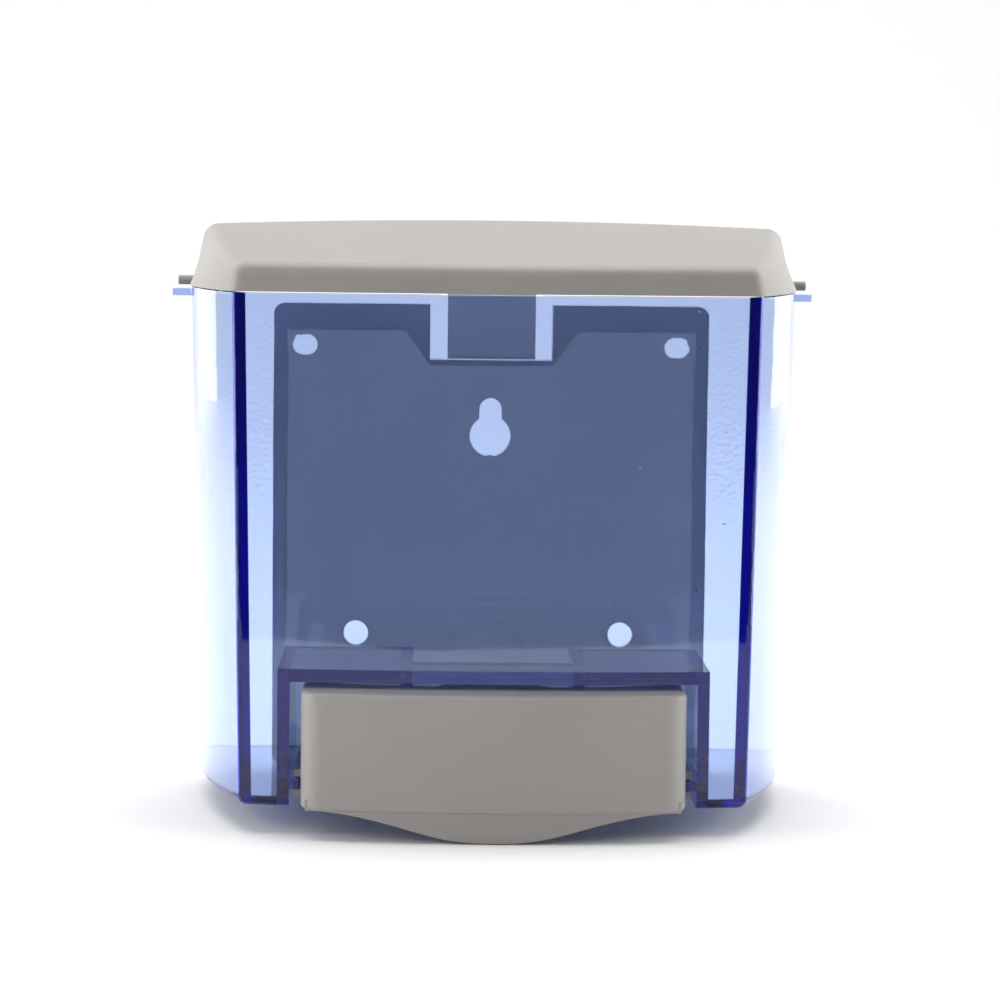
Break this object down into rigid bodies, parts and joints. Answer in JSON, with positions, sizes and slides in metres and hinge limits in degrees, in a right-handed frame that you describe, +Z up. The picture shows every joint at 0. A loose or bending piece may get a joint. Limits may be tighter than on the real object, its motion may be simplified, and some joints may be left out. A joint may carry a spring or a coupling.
{
  "type": "wall mounted soap dispenser",
  "caption": "Wall mounted refillable soap dispenser: clear blue tank with a hinged grey lid on a screwed back plate, and a grey push bar that works a plunger pump.",
  "frame": {"origin": "middle of the back plate's rear face, which lies on the wall", "axes": "+Y into the wall, -Y to the front, +Z up, +X to the right as seen from the front"},
  "size_m": [0.149, 0.1003, 0.1325],
  "materials": {
    "back_plate": "satin moulded grey",
    "tank": "clear blue tinted moulding",
    "lid": "satin light grey",
    "push_bar": "satin grey",
    "pump_body": "smooth pale grey",
    "plunger": "natural off-white",
    "gasket": "matt black",
    "seal": "matt black",
    "silicone": "translucent",
    "spring_steel": "bright wire"
  },
  "bodies": {
    "wall_unit": {"back_plate": "back_plate", "tank": "tank", "pump_housing": "pump_body", "pump_gasket": "gasket", "pump_nut": "pump_body", "inlet_valve": "silicone", "inlet_strainer": "pump_body", "plunger_guide": "pump_body", "stem_seal": "seal"},
    "release": {"release_tongue": "back_plate"},
    "cover": {"lid": "lid", "left_hinge_pin": "lid", "right_hinge_pin": "lid"},
    "bar": {"push_bar": "push_bar"},
    "plunger_unit": {"plunger": "plunger", "piston_seal": "seal", "return_spring": "spring_steel", "spout": "plunger", "spout_seal": "seal", "outlet_valve": "silicone"}
  },
  "joints": [
    {"name": "lid_hinge", "type": "hinge", "parent": "wall_unit", "child": "cover", "pos_m": [0, -0.0155, 0.061], "axis": [-1, 0, 0], "range_deg": [0, 95]},
    {"name": "bar_slide", "type": "slide", "parent": "wall_unit", "child": "bar", "axis": [0, 1, 0], "range_m": [0, 0.0065], "stiffness_N_per_m": 900, "springref_m": -0.004},
    {"name": "plunger_slide", "type": "slide", "parent": "wall_unit", "child": "plunger_unit", "axis": [0, 1, 0], "range_m": [0, 0.0065], "deforming": ["return_spring"]},
    {"name": "tongue_flex", "type": "hinge", "parent": "wall_unit", "child": "release", "pos_m": [0, -0.00745, 0.04415], "axis": [-1, 0, 0], "range_deg": [0, 9], "stiffness_Nm_per_rad": 3, "springref_deg": -2.86}
  ],
  "couplings": [
    {"joint": "plunger_slide", "follows": "bar_slide", "ratio": 1}
  ]
}
